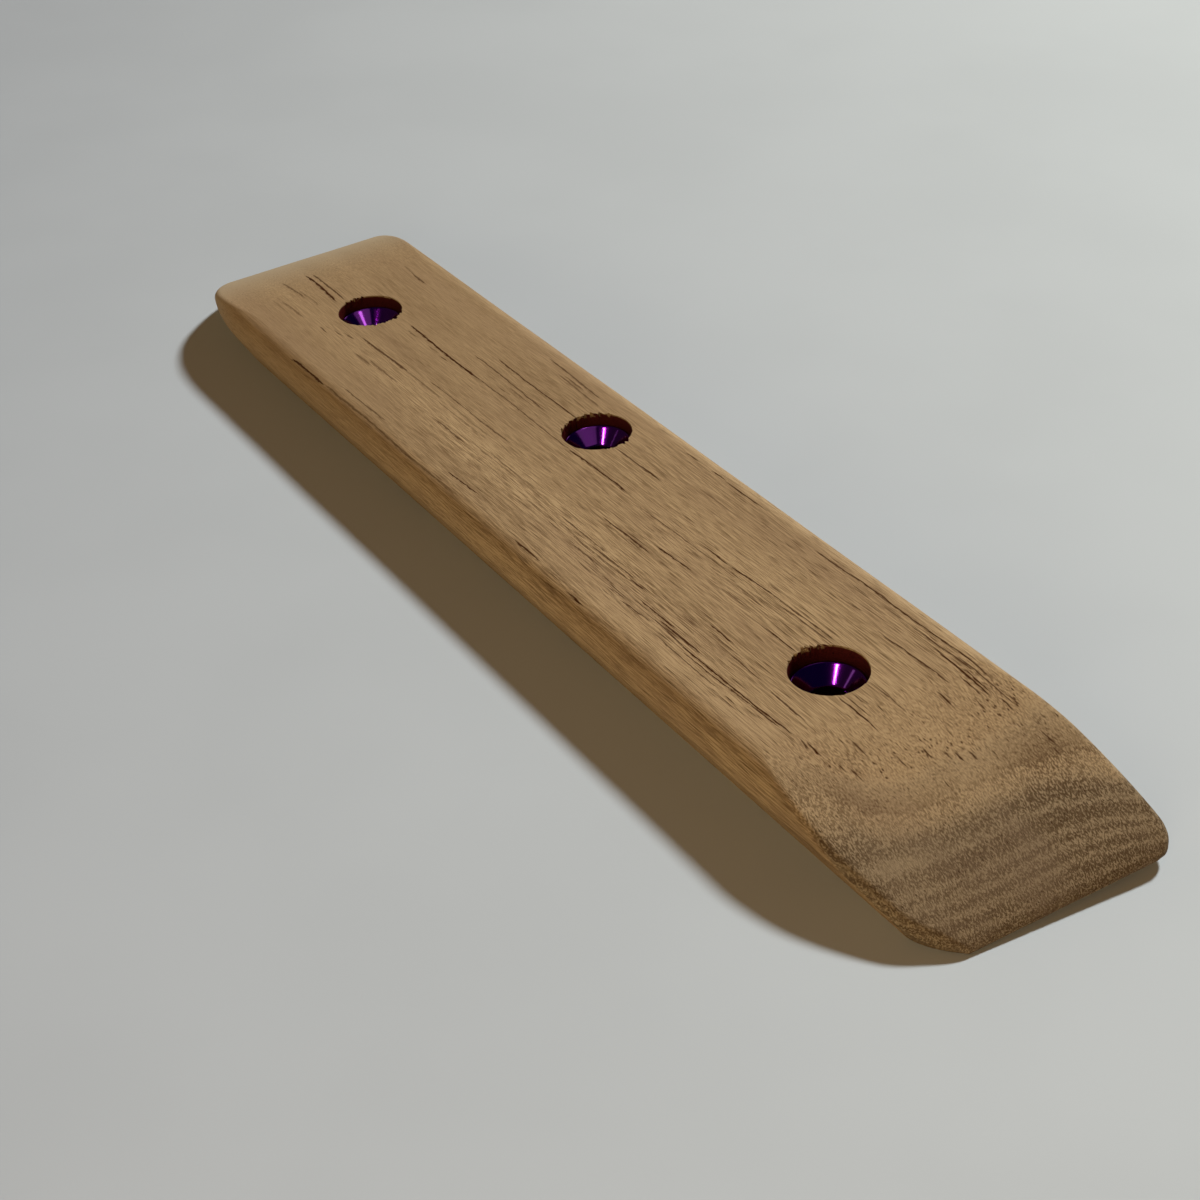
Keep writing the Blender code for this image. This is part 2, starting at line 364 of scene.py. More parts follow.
class GrainTools:
    """Shader node groups that the finishes share, each built once."""

    def __init__(self) -> None:
        """Build the groups."""
        self.vessels = self._vessels()
        self.fibres = self._fibres()
        self.rings = self._rings()
        self.mark = self._mark()

    @staticmethod
    def _group(name: str, inputs: dict[str, float], outputs: Sequence[str]) -> tuple:
        """Start a shader group that reads a place in millimetres.

        Args:
            name: Name of the group.
            inputs: Its numbers, with their defaults.
            outputs: Names of the values that it puts out.

        Returns:
            The tree, its place socket, its numbers by name and its output node.
        """
        tree = bpy.data.node_groups.new(name, "ShaderNodeTree")
        tree.interface.new_socket("Place", in_out="INPUT", socket_type="NodeSocketVector")
        for label, value in inputs.items():
            socket = tree.interface.new_socket(label, in_out="INPUT", socket_type="NodeSocketFloat")
            socket.default_value = value
        for label in outputs:
            tree.interface.new_socket(label, in_out="OUTPUT", socket_type="NodeSocketFloat")
        entry = tree.nodes.new("NodeGroupInput")
        numbers = {label: Formula(tree, entry.outputs[label]) for label in inputs}
        return tree, entry.outputs["Place"], numbers, tree.nodes.new("NodeGroupOutput")

    def _vessels(self) -> bpy.types.NodeTree:
        """Return a group of long open pores that lie along X and are cut wherever a surface meets them."""
        defaults = {"Length": 30.0, "Spacing": 1.2, "Share": 0.4, "Bore": 0.2, "Seed": 0.0}
        tree, place, given, end = self._group("open_vessels", defaults, ["Pore"])
        x, y, z = parts_of(tree, place)
        drift = (noise(tree, place, (0.03, 0.12, 0.12), 1.0) - 0.5) * 3.0
        cell = vector_of(tree, x / given["Length"] + given["Seed"], (y + drift) / given["Spacing"],
                         (z + drift) / given["Spacing"])
        cells = add_node(tree, "ShaderNodeTexVoronoi", {"Vector": cell, "Scale": 1.0, "Randomness": 1.0})
        pick, _, _ = parts_of(tree, cells.outputs["Color"])
        distance = Formula(tree, cells.outputs["Distance"])
        inside = 1.0 - distance.share(given["Bore"] * 0.6, given["Bore"] * 1.3)
        feed(tree, inside * (1.0 - pick.over(given["Share"])), end.inputs["Pore"])
        return tree

    def _fibres(self) -> bpy.types.NodeTree:
        """Return a group of fine fibres along X, short ticks where the grain is cut across."""
        tree, place, given, end = self._group("wood_fibres", {"Length": 14.0, "Width": 0.5}, ["Fibre"])
        x, y, z = parts_of(tree, place)
        stretched = vector_of(tree, x / given["Length"], y / given["Width"], z / given["Width"])
        inputs = {"Vector": stretched, "Scale": 1.0, "Detail": 4.0, "Roughness": 0.62}
        node = add_node(tree, "ShaderNodeTexNoise", inputs)
        feed(tree, Formula(tree, node.outputs[0]), end.inputs["Fibre"])
        return tree

    def _rings(self) -> bpy.types.NodeTree:
        """Return a group of growth rings, layers that lie flat in the board and bow towards its long edges."""
        defaults = {"Grip bow": 320.0, "Heel bow": 480.0, "Waver": 0.7}
        tree, place, given, end = self._group("growth_rings", defaults, ["Ring", "Level"])
        x, y, z = parts_of(tree, place)
        grip, heel = (-8.0 - y).most(0.0).least(23.0), (y - 8.0).most(0.0)
        high = z.share(11.0, 20.0)
        bow = (grip * grip / given["Grip bow"] * (0.4 + high * 2.3)
               + heel * heel / given["Heel bow"] * (high * 2.6 - 1.3))
        broad = noise(tree, place, (0.006, 0.03, 0.03), 1.0) - 0.5
        close = noise(tree, place, (0.03, 0.20, 0.20), 3.0, 0.6) - 0.5
        level = z - bow + broad * 0.8 + close * given["Waver"]
        ramp = add_node(tree, "ShaderNodeValToRGB", {0: level / RING_DEPTH})
        ramp.color_ramp.interpolation = "EASE"
        stops = ramp.color_ramp.elements
        for number, (depth, shade) in enumerate(RINGS):
            stop = stops[number] if number < len(stops) else stops.new(depth / RING_DEPTH)
            stop.position = depth / RING_DEPTH
            stop.color = (shade, shade, shade, 1.0)
        thin = noise(tree, vector_of(tree, 0.0, 0.0, level), (1.0, 1.0, 1.7), 2.0) - 0.5
        feed(tree, Formula(tree, ramp.outputs[0]) + thin * 0.3, end.inputs["Ring"])
        feed(tree, level, end.inputs["Level"])
        return tree

    def _mark(self) -> bpy.types.NodeTree:
        """Return a group that draws one painted layer of lines, crisp at any mesh density."""
        defaults = {"Offset": 9.0, "Half width": 0.3, "Depth": 0.0}
        tree, place, given, end = self._group("grain_mark", defaults, ["Mark"])
        wander = noise(tree, place, (0.22, 0.5, 0.5), 2.0) - 0.5
        fray = noise(tree, place, (0.40, 2.6, 2.6), 3.0, 0.6) - 0.5
        off = (given["Offset"] + wander * 0.8 + fray * 0.5).size()
        thick = given["Half width"] * (1.2 + fray * 3.6)
        line = 1.0 - (off / thick.most(0.02)).share(0.45, 1.15)
        feed(tree, line * given["Depth"].share(0.0, 0.6) * (0.35 + given["Depth"] * 0.65), end.inputs["Mark"])
        return tree

    @staticmethod
    def use(tree: bpy.types.NodeTree, group: bpy.types.NodeTree, **inputs: object) -> bpy.types.Node:
        """Place a group in a tree, with its inputs, and return its node."""
        node = tree.nodes.new("ShaderNodeGroup")
        node.node_tree = group
        for name, value in inputs.items():
            feed(tree, value, node.inputs[name])
        return node


def new_material(name: str) -> tuple[bpy.types.Material, bpy.types.NodeTree, bpy.types.Node]:
    """Return a new material, its tree and its Principled shader."""
    material = bpy.data.materials.new(name)
    material.use_nodes = True
    return material, material.node_tree, material.node_tree.nodes["Principled BSDF"]


def mixed(tree: bpy.types.NodeTree, factor: Number, first: object, second: object,
          blend: str = "MIX") -> bpy.types.NodeSocket:
    """Return one colour mixed into another.

    Args:
        tree: The material's tree.
        factor: Share of the second colour.
        first: Colour or socket under it.
        second: Colour or socket mixed in.
        blend: How they mix.

    Returns:
        The mixed colour.
    """
    node = add_node(tree, "ShaderNodeMix", data_type="RGBA", blend_type=blend)
    for entry, value in zip((node.inputs[0], node.inputs[6], node.inputs[7]), (factor, first, second)):
        feed(tree, (*value, 1.0) if isinstance(value, tuple) else value, entry)
    return node.outputs[2]


@dataclass(frozen=True)
class Vessel:
    """One size of the timber's long open pores, in millimetres."""

    length: float
    spacing: float

    # Radius as a share of the spacing, and the number that picks the pattern
    bore: float
    seed: float

    # Share that is open everywhere, share more where the timber is porous, and how dark they are
    open_anywhere: float
    open_where_porous: float
    darkness: float


VESSELS = (
    Vessel(44.0, 1.6, 0.12, 0.0, 0.02, 0.225, 0.85), Vessel(26.0, 0.9, 0.16, 7.3, 0.10, 0.45, 0.80),
    Vessel(22.0, 0.6, 0.20, 3.1, 0.16, 0.45, 0.65), Vessel(14.0, 0.38, 0.28, 5.7, 0.11, 0.63, 0.75),
)
CUT_VESSEL = Vessel(2.6, 0.85, 0.27, 1.9, 0.0, 0.55, 0.90)


@dataclass(frozen=True)
class TimberFinish:
    """Sanded open-pored hardwood, unvarnished, with painted shade on the walls of its bolt holes."""

    golden: Colour = (0.436, 0.292, 0.150)
    brown: Colour = (0.136, 0.076, 0.034)
    pink: Colour = (0.284, 0.180, 0.098)
    pale_end: Colour = (0.394, 0.324, 0.216)
    pore: Colour = (0.042, 0.010, 0.002)
    end_grain: Colour = (0.67, 0.71, 0.78)
    # Painted shade: a dark reddish brown multiplied into the walls of the bolt holes
    bored: Colour = (0.17, 0.032, 0.05)
    roughness: float = 0.75
    specular: float = 0.06

    # Lightness of even wood between brown and golden, and how far each pattern moves it
    even: float = 0.52
    tone_share: float = 0.36
    cloud_share: float = 0.35
    fibre_share: float = 0.16
    hair_share: float = 0.70
    ring_share: float = 0.14
    cut_ring_share: float = 0.62

    # How far a bevel leans where its fibres start to look cut across, and where they all do
    cut_lean: Span = (0.06, 0.19)

    # Levels in the board, in millimetres, over which a cut end's look, its coarse ticks and its dark wood end
    cut_levels: Span = (15.9, 17.0)
    coarse_levels: Span = (13.8, 15.2)
    dark_levels: Span = (11.8, 14.0)

    # Levels over which a ring of large pores starts and ends
    pored_start: Span = (16.5, 17.0)
    pored_end: Span = (17.5, 18.1)

    # Places along the rail where the figure grows clear, and where the far end turns pale
    clear_places: Span = (-120.0, 60.0)
    pale_places: Span = (165.0, 215.0)

    def build(self, tools: GrainTools) -> bpy.types.Material:
        """Build the material.

        Args:
            tools: The shared node groups.

        Returns:
            The timber material.
        """
        material, tree, shader = new_material("sanded_hardwood")
        coordinates = tree.nodes.new("ShaderNodeTexCoord").outputs["Object"]
        scaled = add_node(tree, "ShaderNodeVectorMath", {0: coordinates, "Scale": 1 / MM}, operation="SCALE")
        place = scaled.outputs[0]
        along, across, up = parts_of(tree, place)
        tone, pores = (self._painted(tree, name) for name in ("tone", "pores"))
        normal = tree.nodes.new("ShaderNodeNewGeometry").outputs["Normal"]
        lean, _, facing = parts_of(tree, normal)

        # The figure stands out more and more towards the left end
        clear = 0.4 + along.fade(*self.clear_places) * 0.6
        rings = tools.use(tree, tools.rings, Place=place)
        ring = Formula(tree, rings.outputs["Ring"])
        level = Formula(tree, rings.outputs["Level"])
        bevelled = lean.fade(*self.cut_lean)
        cut_end = bevelled * (1.0 - level.fade(*self.cut_levels))
        coarse = cut_end * (1.0 - level.fade(*self.coarse_levels))
        dark_end = cut_end * (1.0 - level.fade(*self.dark_levels))
        fibre = Formula(tree, tools.use(tree, tools.fibres, Place=place).outputs[0])
        hair = Formula(tree, tools.use(tree, tools.fibres, Place=place, Length=8.0, Width=0.19).outputs[0])

        # Where a bevel cuts the fibres they show as short ticks, a little askew
        askew = vector_of(tree, along, across + (along - 165.0).most(0.0) * 0.15, up)
        tick = Formula(tree, tools.use(tree, tools.fibres, Place=askew, Length=1.3, Width=0.42).outputs[0])
        cloud = noise(tree, place, (0.012, 0.09, 0.09), 3.0)

        grain = ((fibre.fade(0.38, 0.62) - 0.5) * self.fibre_share
                 + (hair.fade(0.42, 0.58) - 0.5) * (1.0 + pores) * self.hair_share)
        stipple = (tick.fade(0.47, 0.60) - 0.30) * coarse * (0.7 + ring * 1.1)
        ringed = along.fade(-150.0, 60.0) * self.ring_share + cut_end * self.cut_ring_share
        lightness = (self.even + tone * self.tone_share + (cloud - 0.5) * self.cloud_share
                     + grain * clear * (1.0 - coarse * 0.6) + stipple + (ring - 0.45) * ringed)
        base = mixed(tree, lightness.share(0.0, 1.0), self.brown, self.golden)
        blush = noise(tree, place, (0.008, 0.05, 0.05), 2.0).fade(0.45, 0.75) * 0.4
        base = mixed(tree, blush, base, self.pink)
        base = mixed(tree, (-along).fade(*self.pale_places) * 0.6, base, self.pale_end)

        # A bevel cuts the large pores of one ring to dots
        pored = level.fade(*self.pored_start) * (1.0 - level.fade(*self.pored_end)) * bevelled
        pore = self._opened(tree, tools, askew, CUT_VESSEL, pored)
        for vessel in VESSELS:
            pore = pore.most(self._opened(tree, tools, place, vessel, pores))
        pore = pore * clear
        drawn: Number = 0.0
        for name in MARK_LAYERS:
            painted = add_node(tree, "ShaderNodeAttribute", attribute_name=name).outputs["Vector"]
            off, half_width, depth = parts_of(tree, painted)
            inputs = {"Place": place, "Offset": off, "Half width": half_width, "Depth": depth}
            drawn = Formula(tree, tools.use(tree, tools.mark, **inputs).outputs[0]).most(drawn)
        colour = mixed(tree, pore.most(drawn), base, self.pore)
        colour = mixed(tree, cut_end * 0.40 + dark_end * 0.60, colour,
                       mixed(tree, 1.0, colour, self.end_grain, "MULTIPLY"))
        # Painted shade darkens the walls of the bolt holes to a reddish brown
        colour = mixed(tree, self._in_hole(tree, coordinates, facing), colour,
                       mixed(tree, 1.0, colour, self.bored, "MULTIPLY"))
        feed(tree, colour, shader.inputs["Base Color"])
        shader.inputs["Roughness"].default_value = self.roughness
        shader.inputs["Specular IOR Level"].default_value = self.specular

        height = (fibre - 0.5) * 0.6 + (hair - 0.5) * 0.9 + (tick - 0.5) * coarse * 2.0 - pore * 1.0
        bump = add_node(tree, "ShaderNodeBump", {"Strength": 0.7, "Distance": 0.14 * MM, "Height": height})
        feed(tree, bump.outputs[0], shader.inputs["Normal"])
        return material

    @staticmethod
    def _opened(tree: bpy.types.NodeTree, tools: GrainTools, place: bpy.types.NodeSocket, vessel: Vessel,
                porous: Formula) -> Formula:
        """Return where one size of vessel is open.

        Args:
            tree: The material's tree.
            tools: The shared node groups.
            place: The place in millimetres.
            vessel: The size of vessel.
            porous: How porous the timber is there.

        Returns:
            The open pores, as dark as they are.
        """
        share = porous * vessel.open_where_porous + vessel.open_anywhere
        node = tools.use(tree, tools.vessels, Place=place, Share=share, Length=vessel.length,
                         Spacing=vessel.spacing, Bore=vessel.bore, Seed=vessel.seed)
        return Formula(tree, node.outputs[0]) * vessel.darkness

    @staticmethod
    def _painted(tree: bpy.types.NodeTree, name: str) -> Formula:
        """Return a value that is painted on the mesh under a name."""
        return Formula(tree, add_node(tree, "ShaderNodeAttribute", attribute_name=name).outputs["Fac"])

    @staticmethod
    def _in_hole(tree: bpy.types.NodeTree, coordinates: bpy.types.NodeSocket, facing: Formula) -> Formula:
        """Return where painted shade darkens the bolt holes: 1 inside them, and 0 on the outer faces.

        Args:
            tree: The material's tree.
            coordinates: The place in metres.
            facing: How far the surface faces out of the wall.

        Returns:
            The mask.
        """
        x, y, z = parts_of(tree, coordinates)
        wall = (1.0 - z.share(18.6 * MM, 19.2 * MM)).most(1.0 - facing.fade(0.15, 0.38))
        total: Number = 0.0
        for hole in Hole:
            off_x, off_y = x - hole.x, y - hole.y
            total = 1.0 - (off_x * off_x + off_y * off_y).root().share(11.6 * MM, 12.2 * MM) + total
        return total.least(1.0) * wall


@dataclass(frozen=True)
class AnodisedFinish:
    """Bright purple anodised aluminium, turned on a lathe."""

    colour: Colour = (0.30, 0.012, 0.42)
    edge_tint: Colour = (1.0, 0.35, 1.0)
    roughness: float = 0.15
    roughness_spread: float = 0.10
    film_roughness: float = 0.05
    darkest: float = 0.72

    def build(self) -> bpy.types.Material:
        """Build the material."""
        material, tree, shader = new_material("purple_anodised")
        shader.inputs["Metallic"].default_value = 1.0
        shader.inputs["Specular Tint"].default_value = (*self.edge_tint, 1.0)
        shader.inputs["Coat Weight"].default_value = 1.0
        shader.inputs["Coat Roughness"].default_value = self.film_roughness
        spot = add_node(tree, "ShaderNodeAttribute", attribute_name="turned_place").outputs["Vector"]
        x, y, z = parts_of(tree, spot)
        reach = (x * x + y * y).root() / MM
        grooves = noise(tree, vector_of(tree, reach, z / MM, 0.0), (14.0, 14.0, 1.0), 3.0, 0.6)
        feed(tree, (grooves - 0.5) * self.roughness_spread + self.roughness, shader.inputs["Roughness"])
        hue = noise(tree, spot, (220.0, 220.0, 220.0), 2.0)
        feed(tree, mixed(tree, hue, self.colour, tuple(self.darkest * part for part in self.colour)),
             shader.inputs["Base Color"])
        bump = add_node(tree, "ShaderNodeBump", {"Strength": 0.25, "Distance": 0.01 * MM, "Height": grooves})
        feed(tree, bump.outputs[0], shader.inputs["Normal"])
        return material


@dataclass(frozen=True)
class FloorFinish:
    """Pale matt board, faintly mottled, with painted light that makes it brighter towards the rail's left end and
    its heel side.
    """

    # Painted light: the board's colour runs from dim to bright along the rail, and from darker on the grip side
    # to lighter on the heel side
    bright: Colour = (0.552, 0.571, 0.562)
    dim: Colour = (0.345, 0.350, 0.349)
    dim_end: float = -0.6
    bright_end: float = 0.4
    heel_tint: Colour = (1.247, 1.241, 1.190)
    grip_tint: Colour = (0.753, 0.759, 0.810)
    tint_reach: float = 0.5
    mottling: float = 0.03
    roughness: float = 0.75
    specular: float = 0.2

    def build(self) -> bpy.types.Material:
        """Build the material."""
        material, tree, shader = new_material("pale_board")
        place = tree.nodes.new("ShaderNodeTexCoord").outputs["Object"]
        along, across, _ = parts_of(tree, place)
        # Painted light and shade: brighter towards the rail's left end and the heel side, darker towards the
        # right end and the grip side
        board = mixed(tree, along.share(self.dim_end, self.bright_end), self.dim, self.bright)
        painted_light_tint = mixed(tree, across.share(-self.tint_reach, self.tint_reach), self.grip_tint, self.heel_tint)
        board = mixed(tree, 1.0, board, painted_light_tint, "MULTIPLY")
        mottle = noise(tree, place, (9.0, 9.0, 9.0), 3.0).fade(0.35, 0.65) * self.mottling
        feed(tree, mixed(tree, mottle, board, (0.0, 0.0, 0.0)), shader.inputs["Base Color"])
        shader.inputs["Roughness"].default_value = self.roughness
        shader.inputs["Specular IOR Level"].default_value = self.specular
        grain = noise(tree, place, (900.0, 900.0, 900.0), 2.0)
        bump = add_node(tree, "ShaderNodeBump", {"Strength": 0.12, "Distance": 0.1 * MM, "Height": grain})
        feed(tree, bump.outputs[0], shader.inputs["Normal"])
        return material


# In millimetres: the painted lines' bend and its length, their longest taper, how far off each one is still
# painted, and the room beside and beyond each one that its layer keeps free
LINE_BEND = 0.18
LINE_BEND_LENGTH = 8.0
LINE_TAPER = 5.0
LINE_REACH = 1.6
LINE_ROOM_BESIDE = 3.4
LINE_ROOM_BEYOND = 3.0


@dataclass(frozen=True)
class Mark:
    """A dark line of open pores on the front face, in millimetres, with its full width."""

    start: float
    end: float
    across_start: float
    across_end: float
    width: float
    depth: float

    def clear_of(self, other: "Mark") -> bool:
        """Return whether another line is far enough away to be painted in the same layer."""
        ys, others = (self.across_start, self.across_end), (other.across_start, other.across_end)
        beside = max(min(ys) - max(others), min(others) - max(ys))
        beyond = max(self.start - other.end, other.start - self.end)
        return beside > LINE_ROOM_BESIDE or beyond > LINE_ROOM_BEYOND

    def painted(self, x: np.ndarray, y: np.ndarray) -> np.ndarray:
        """Return the line as seen from each point.

        Args:
            x: Places along the rail.
            y: Places across it.

        Returns:
            Rows of the offset across the line, its half width there and its depth.
        """
        share = np.clip((x - self.start) / (self.end - self.start), 0.0, 1.0)
        bend = LINE_BEND * np.sin(x / LINE_BEND_LENGTH + self.start)
        off = y - self.across_start - (self.across_end - self.across_start) * share - bend
        taper = min(LINE_TAPER, 0.4 * (self.end - self.start))
        inside = np.clip(np.minimum(x - self.start, self.end - x) / taper, 0.0, 1.0)
        close = np.clip((LINE_REACH - np.abs(off)) / 0.4, 0.0, 1.0)
        thick = self.width / 2.0 * inside ** 0.6
        return np.stack([off, thick, self.depth * close * np.clip(inside * 3.0, 0.0, 1.0)], axis=1)


@dataclass(frozen=True)
class Patch:
    """A soft-edged oval on the front face, in millimetres, that lightens, darkens or opens the grain."""

    x: float
    y: float
    half_length: float
    half_width: float
    amount: float

    def strength(self, x: np.ndarray, y: np.ndarray) -> np.ndarray:
        """Return how strongly the patch shows at each point."""
        reach = ((x - self.x) / self.half_length) ** 2 + ((y - self.y) / self.half_width) ** 2
        return self.amount * np.exp(-reach)


# The darkest lines of open grain
MARKS = (
    Mark(-178, -148, -5.0, -6.5, 0.9, 1.0), Mark(-177, -147, -2.8, -3.6, 0.7, 0.7),
    Mark(-178, -158, -14.5, -14.3, 0.8, 0.55), Mark(-166, -149, -13.2, -12.8, 0.7, 0.4),
    Mark(-163, -144, -21.6, -21.4, 0.8, 0.45), Mark(-166, -150, -24.2, -24.0, 0.6, 0.3),
    Mark(-136, -129, -19.6, -19.8, 0.6, 0.6), Mark(-129, -123, -17.0, -16.6, 0.6, 0.55),
    Mark(-125, -119, -15.0, -14.6, 0.6, 0.6), Mark(-119, -86, -11.8, -11.2, 0.9, 0.7),
    Mark(-111, -98, -19.2, -18.8, 0.9, 0.5), Mark(-104, -82, -17.6, -17.2, 0.7, 0.5),
    Mark(-88, -64, -11.4, -10.8, 0.7, 0.45), Mark(-122, -97, -37.2, -36.6, 0.6, 0.9),
    Mark(-97, -10, -36.4, -36.2, 0.6, 0.5), Mark(-152, -139, 25.2, 24.8, 0.8, 0.6),
    Mark(-159, -149, 26.0, 25.4, 0.8, 0.35), Mark(-116, -67, 5.4, 5.0, 0.8, 1.0),
    Mark(-114, -107, 3.2, 3.2, 0.6, 0.5), Mark(-100, -92, 3.0, 3.2, 0.6, 0.45),
    Mark(-90, -84, 2.8, 3.0, 0.6, 0.6), Mark(-68, -10, 5.4, 5.2, 0.45, 0.6),
    Mark(-76, -24, 17.2, 16.8, 0.5, 0.85), Mark(-84, -35, 12.4, 11.8, 0.5, 0.65),
    Mark(-66, -30, 30.8, 29.8, 0.6, 0.6), Mark(-54, -26, 27.4, 26.8, 0.7, 0.5),
    Mark(-52, -38, 28.8, 28.4, 0.6, 0.55), Mark(-62, -50, 7.6, 8.0, 0.5, 0.5),
    Mark(-58, -40, 10.4, 10.2, 0.5, 0.45), Mark(-56, -33, -19.2, -19.0, 0.6, 0.6),
    Mark(-64, -36, -12.6, -12.4, 0.5, 0.45), Mark(-60, -32, -10.8, -10.6, 0.5, 0.4),
    Mark(-78, -24, -8.4, -7.6, 0.4, 0.6), Mark(-92, -62, -33.0, -32.4, 0.6, 0.55),
    Mark(-24, -4, -31.4, -30.8, 0.5, 1.0), Mark(-26, 4, -15.6, -15.4, 0.5, 0.5),
    Mark(-30, 12, -16.6, -16.8, 0.4, 0.4), Mark(-12, 22, 5.0, 5.7, 0.55, 1.0),
    Mark(-3, 22, 17.0, 17.4, 0.6, 0.7), Mark(10, 22, 17.6, 17.4, 0.5, 0.8),
    Mark(20, 34, 19.4, 19.8, 0.4, 0.45), Mark(12, 22, 32.4, 32.4, 0.5, 0.6),
    Mark(27, 34, 32.8, 33.0, 0.7, 0.9), Mark(33, 56, 32.4, 32.4, 0.5, 0.8),
    Mark(80, 112, 31.0, 32.4, 0.5, 0.75), Mark(32, 50, 24.2, 24.0, 0.6, 0.4),
    Mark(22, 38, -34.6, -34.8, 0.6, 0.9), Mark(40, 60, -35.0, -34.9, 0.6, 0.45),
    Mark(54, 64, -36.0, -36.0, 0.5, 0.9), Mark(28, 54, -7.8, -7.2, 0.7, 0.85),
    Mark(38, 50, -8.8, -9.2, 0.5, 0.5), Mark(50, 70, -3.7, -3.0, 0.5, 1.0),
    Mark(24, 50, -4.4, -3.8, 0.4, 0.45), Mark(18, 46, -17.2, -17.0, 0.4, 0.65),
    Mark(38, 62, -18.4, -18.0, 0.5, 0.7), Mark(60, 70, -18.8, -18.6, 0.5, 0.95),
    Mark(30, 68, -20.0, -19.2, 0.4, 0.55), Mark(34, 52, -22.8, -22.4, 0.5, 0.6),
    Mark(54, 62, -24.0, -24.2, 0.4, 0.6), Mark(60, 68, -25.6, -25.4, 0.4, 0.7),
    Mark(67, 82, -26.8, -26.2, 0.5, 0.75), Mark(70, 90, -22.4, -22.0, 0.5, 1.0),
    Mark(82, 103, -23.2, -23.4, 0.5, 1.0), Mark(80, 110, -24.6, -25.2, 0.4, 0.8),
    Mark(96, 146, -25.6, -24.4, 0.5, 1.0), Mark(98, 142, -26.6, -25.4, 0.4, 0.9),
    Mark(86, 118, -28.2, -28.4, 0.4, 0.6), Mark(120, 127, -28.7, -28.7, 0.4, 0.9),
    Mark(108, 128, -30.4, -30.0, 0.4, 0.4), Mark(91, 105, -13.8, -13.6, 0.5, 1.0),
    Mark(94, 112, -15.4, -15.8, 0.4, 0.6), Mark(106, 122, -17.2, -17.6, 0.4, 0.65),
    Mark(125, 144, -18.2, -18.2, 0.5, 0.75), Mark(28, 74, 3.8, 5.6, 0.4, 0.55),
    Mark(58, 73, 7.2, 7.4, 0.5, 0.95), Mark(72, 90, 7.5, 8.2, 0.5, 1.0),
    Mark(86, 120, 8.4, 9.0, 0.4, 0.8), Mark(96, 121, 6.8, 7.8, 0.4, 0.65),
    Mark(76, 112, 2.6, 5.2, 0.3, 0.4), Mark(78, 100, -1.0, -0.4, 0.35, 0.5),
    Mark(103, 118, -2.6, -2.2, 0.5, 1.0), Mark(139, 156, -5.5, -5.4, 0.5, 1.0),
    Mark(140, 151, -4.0, -3.9, 0.4, 0.8), Mark(140, 149, -1.8, -1.8, 0.4, 0.6),
    Mark(139, 152, 5.0, 5.0, 0.45, 0.7), Mark(150, 155, 5.2, 5.2, 0.4, 0.6),
    Mark(154, 162, -13.0, -13.0, 0.6, 0.7), Mark(148, 152, -24.0, -24.0, 0.5, 0.8),
    Mark(149, 156, -23.0, -23.0, 0.5, 1.0), Mark(159, 163, -21.2, -21.0, 0.5, 0.9),
    Mark(162, 168, -19.6, -19.4, 0.5, 0.9), Mark(166, 171, 0.6, 0.6, 0.5, 1.0),
    Mark(170, 173, 4.6, 4.6, 0.6, 0.8), Mark(172, 176, 6.8, 7.0, 0.6, 1.0),
    Mark(173, 177, 10.0, 10.0, 0.5, 0.8), Mark(163, 168, 9.8, 9.6, 0.4, 0.6),
    Mark(165, 170, -7.0, -6.8, 0.5, 0.8), Mark(152, 160, 16.6, 16.5, 0.6, 1.0),
    Mark(122, 152, 20.8, 21.2, 0.5, 0.85), Mark(106, 113, 23.0, 23.0, 0.5, 0.6),
    Mark(160, 165, 23.4, 23.2, 0.5, 0.9), Mark(150, 161, 25.8, 25.6, 0.5, 1.0),
    Mark(137, 162, 27.8, 27.4, 0.6, 1.0), Mark(149, 160, 28.6, 28.4, 0.5, 1.0),
    Mark(126, 152, 29.6, 30.0, 0.5, 0.8), Mark(143, 168, 30.6, 30.8, 0.5, 0.7),
    Mark(96, 156, 31.8, 32.0, 0.5, 0.9), Mark(162, 169, 29.2, 29.0, 0.6, 0.9),
    Mark(163, 168, 31.6, 31.6, 0.5, 0.8), Mark(176, 183, 30.4, 31.2, 0.6, 0.7),
    Mark(183, 186, 29.8, 29.8, 0.6, 0.8),
)

# Names of the painted layers of dark lines
MARK_LAYERS = ("lines_a", "lines_b", "lines_c", "lines_d", "lines_e", "lines_f")

# Depth in the board, in millimetres, that the growth rings are spread over
RING_DEPTH = 24.0

# Growth rings, each point with its height in the board in millimetres and its shade from dark to light
RINGS = (
    (1.0, 0.30), (2.6, 0.10), (3.4, 0.65), (4.2, 0.10), (4.9, 0.12), (5.5, 0.75), (6.3, 0.08), (7.2, 0.75),
    (7.9, 0.08), (8.6, 0.80), (9.3, 0.10), (10.2, 0.10), (10.9, 0.90), (11.6, 0.20), (12.4, 0.35), (13.0, 1.0),
    (13.8, 1.0), (14.4, 0.40), (15.8, 0.60), (16.6, 1.0), (18.4, 1.0), (22.0, 0.70),
)

